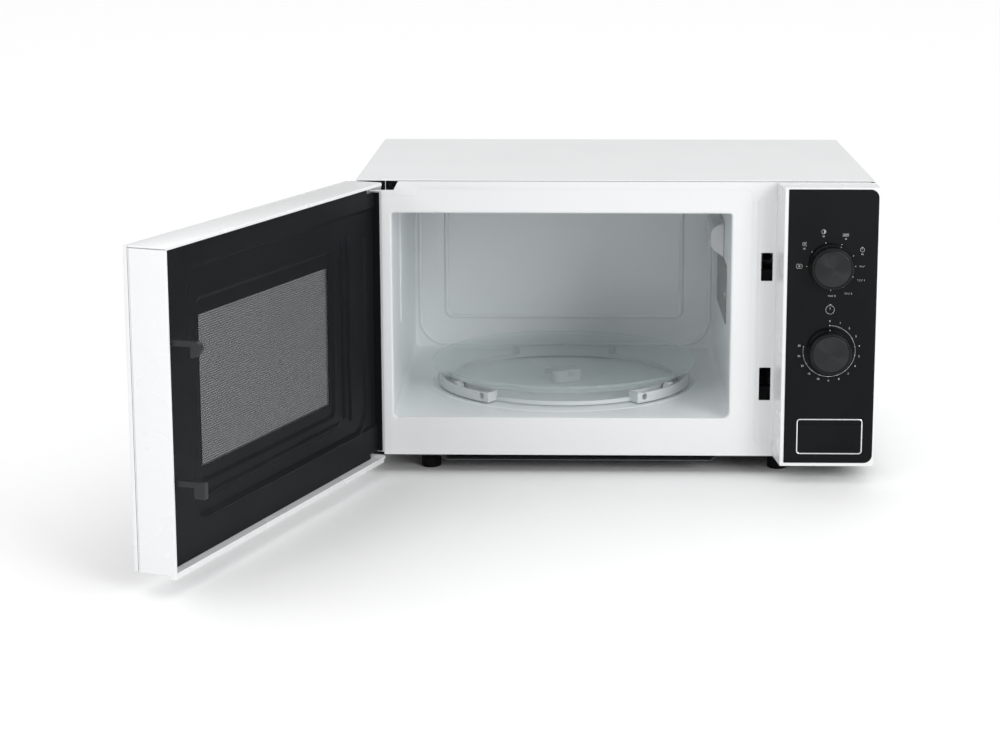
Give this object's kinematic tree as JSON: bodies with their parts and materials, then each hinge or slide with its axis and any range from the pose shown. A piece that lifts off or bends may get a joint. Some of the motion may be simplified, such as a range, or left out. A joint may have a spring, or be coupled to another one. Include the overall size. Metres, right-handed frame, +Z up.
{
  "type": "microwave oven",
  "caption": "Countertop microwave oven with grill: open side-hinged door with perforated window, glass turntable on a roller ring, control panel with dials and a door button.",
  "frame": {"origin": "bottom centre of the whole oven's bounding box with its door open, on the surface that the feet stand on", "axes": "+Z up, +Y towards the back of the oven, +X towards its control panel seen from the front"},
  "size_m": [0.5844, 0.6624, 0.262],
  "materials": {
    "white_steel": "smooth white powder coat",
    "cavity_paint": "light grey oven paint",
    "zinc_steel": "zinc plated",
    "dark_steel": "dark coated sheet",
    "element_steel": "heat darkened sheath",
    "laminations": "stacked laminations",
    "aluminium": "plain sheet",
    "spring_steel": "bright wire",
    "silver_trim": "satin plating",
    "white_plastic": "smooth moulding",
    "black_plastic": "satin moulding",
    "gloss_black": "high gloss",
    "knob_metal": "black with a spun face",
    "pale_plastic": "heat resistant moulding",
    "rubber": "matt",
    "clear_glass": "clear, faint green",
    "smoked_glass": "dark tinted",
    "film": "thin clear film",
    "mica": "mineral sheet",
    "circuit_board": "solder mask"
  },
  "bodies": {
    "cabinet": {"outer_cover": "white_steel", "front_plate": "white_steel", "cavity_shell": "cavity_paint", "rear_panel": "zinc_steel", "base_plate": "dark_steel", "foot_front_left": "rubber", "foot_front_right": "rubber", "foot_rear_left": "rubber", "foot_rear_right": "rubber", "waveguide_cover": "mica", "lamp_hood": "white_plastic", "grill_reflector": "aluminium", "grill_element": "element_steel", "turntable_motor": "zinc_steel", "control_panel": "white_plastic", "panel_overlay": "gloss_black", "button_frame": "silver_trim", "timer_unit": "zinc_steel", "selector_switch": "black_plastic", "latch_holder": "black_plastic", "lever_spring": "spring_steel", "door_switch_upper": "black_plastic", "door_switch_middle": "black_plastic", "door_switch_lower": "black_plastic", "waveguide": "zinc_steel", "magnetron": "zinc_steel", "hv_transformer": "laminations", "hv_capacitor": "aluminium", "hv_diode": "black_plastic", "filter_board": "circuit_board", "thermal_cutout": "silver_trim", "oven_lamp": "clear_glass", "cord_inlet": "black_plastic", "cover_screw_1": "zinc_steel", "cover_screw_2": "zinc_steel", "cover_screw_3": "zinc_steel", "fan_duct": "black_plastic", "fan_motor": "laminations", "top_hinge": "zinc_steel", "bottom_hinge": "zinc_steel"},
    "door": {"door_frame": "white_plastic", "door_front_border": "white_plastic", "door_glass": "smoked_glass", "door_screen": "dark_steel", "window_film": "film", "door_inner_cover": "black_plastic", "latch_spring": "spring_steel"},
    "latch": {"latch_hooks": "black_plastic"},
    "selector": {"selector_knob": "knob_metal"},
    "timer": {"timer_knob": "knob_metal"},
    "button": {"open_button": "gloss_black"},
    "lever": {"release_lever": "white_plastic"},
    "turntable_drive": {"turntable_coupler": "pale_plastic"},
    "turntable_plate": {"glass_turntable": "clear_glass"},
    "ring": {"roller_ring": "pale_plastic"},
    "wheel_1": {"roller_1": "pale_plastic"},
    "wheel_2": {"roller_2": "pale_plastic"},
    "wheel_3": {"roller_3": "pale_plastic"},
    "fan": {"fan_blade": "pale_plastic"}
  },
  "joints": [
    {"name": "door_hinge", "type": "hinge", "parent": "cabinet", "child": "door", "pos_m": [-0.15083, 0.01274, 0.14], "axis": [0, 0, 1], "range_deg": [0, 110.2]},
    {"name": "latch_slide", "type": "slide", "parent": "door", "child": "latch", "axis": [0, 0, 1], "range_m": [0, 0.0035], "stiffness_N_per_m": 300, "springref_m": -0.004, "deforming": ["latch_spring"]},
    {"name": "selector_turn", "type": "hinge", "parent": "cabinet", "child": "selector", "pos_m": [0.25056, -0.00476, 0.193], "axis": [0, 1, 0], "range_deg": [-114.5, 155.5]},
    {"name": "timer_turn", "type": "hinge", "parent": "cabinet", "child": "timer", "pos_m": [0.25056, -0.00476, 0.119], "axis": [0, 1, 0], "range_deg": [0, 280]},
    {"name": "button_press", "type": "slide", "parent": "cabinet", "child": "button", "axis": [0, 1, 0], "range_m": [0, 0.004], "stiffness_N_per_m": 600, "springref_m": -0.002},
    {"name": "lever_turn", "type": "hinge", "parent": "cabinet", "child": "lever", "pos_m": [0.22517, 0.03624, 0.06], "axis": [1, 0, 0], "range_deg": [0, 15.2], "deforming": ["lever_spring"]},
    {"name": "turntable_spin", "type": "hinge", "parent": "cabinet", "child": "turntable_drive", "pos_m": [0.02116, 0.17974, 0.056], "axis": [0, 0, 1], "continuous": true},
    {"name": "plate_lift", "type": "slide", "parent": "turntable_drive", "child": "turntable_plate", "axis": [0, 0, 1], "range_m": [0, 0.06]},
    {"name": "ring_spin", "type": "hinge", "parent": "cabinet", "child": "ring", "pos_m": [0.02116, 0.17974, 0.055], "axis": [0, 0, 1], "continuous": true},
    {"name": "roller_1_spin", "type": "hinge", "parent": "ring", "child": "wheel_1", "pos_m": [0.11816, 0.12374, 0.05615], "axis": [0.866, -0.5, 0], "continuous": true},
    {"name": "roller_2_spin", "type": "hinge", "parent": "ring", "child": "wheel_2", "pos_m": [0.02116, 0.29174, 0.05615], "axis": [0, 1, 0], "continuous": true},
    {"name": "roller_3_spin", "type": "hinge", "parent": "ring", "child": "wheel_3", "pos_m": [-0.07583, 0.12374, 0.05615], "axis": [-0.866, -0.5, 0], "continuous": true},
    {"name": "fan_spin", "type": "hinge", "parent": "cabinet", "child": "fan", "pos_m": [0.23417, 0.29874, 0.182], "axis": [0, 1, 0], "continuous": true}
  ],
  "couplings": [
    {"joint": "lever_turn", "follows": "button_press", "rad_per_m": 66},
    {"joint": "ring_spin", "follows": "turntable_spin", "ratio": 0.5},
    {"joint": "roller_1_spin", "follows": "turntable_spin", "ratio": -9.5726},
    {"joint": "roller_2_spin", "follows": "turntable_spin", "ratio": -9.5726},
    {"joint": "roller_3_spin", "follows": "turntable_spin", "ratio": -9.5726}
  ]
}
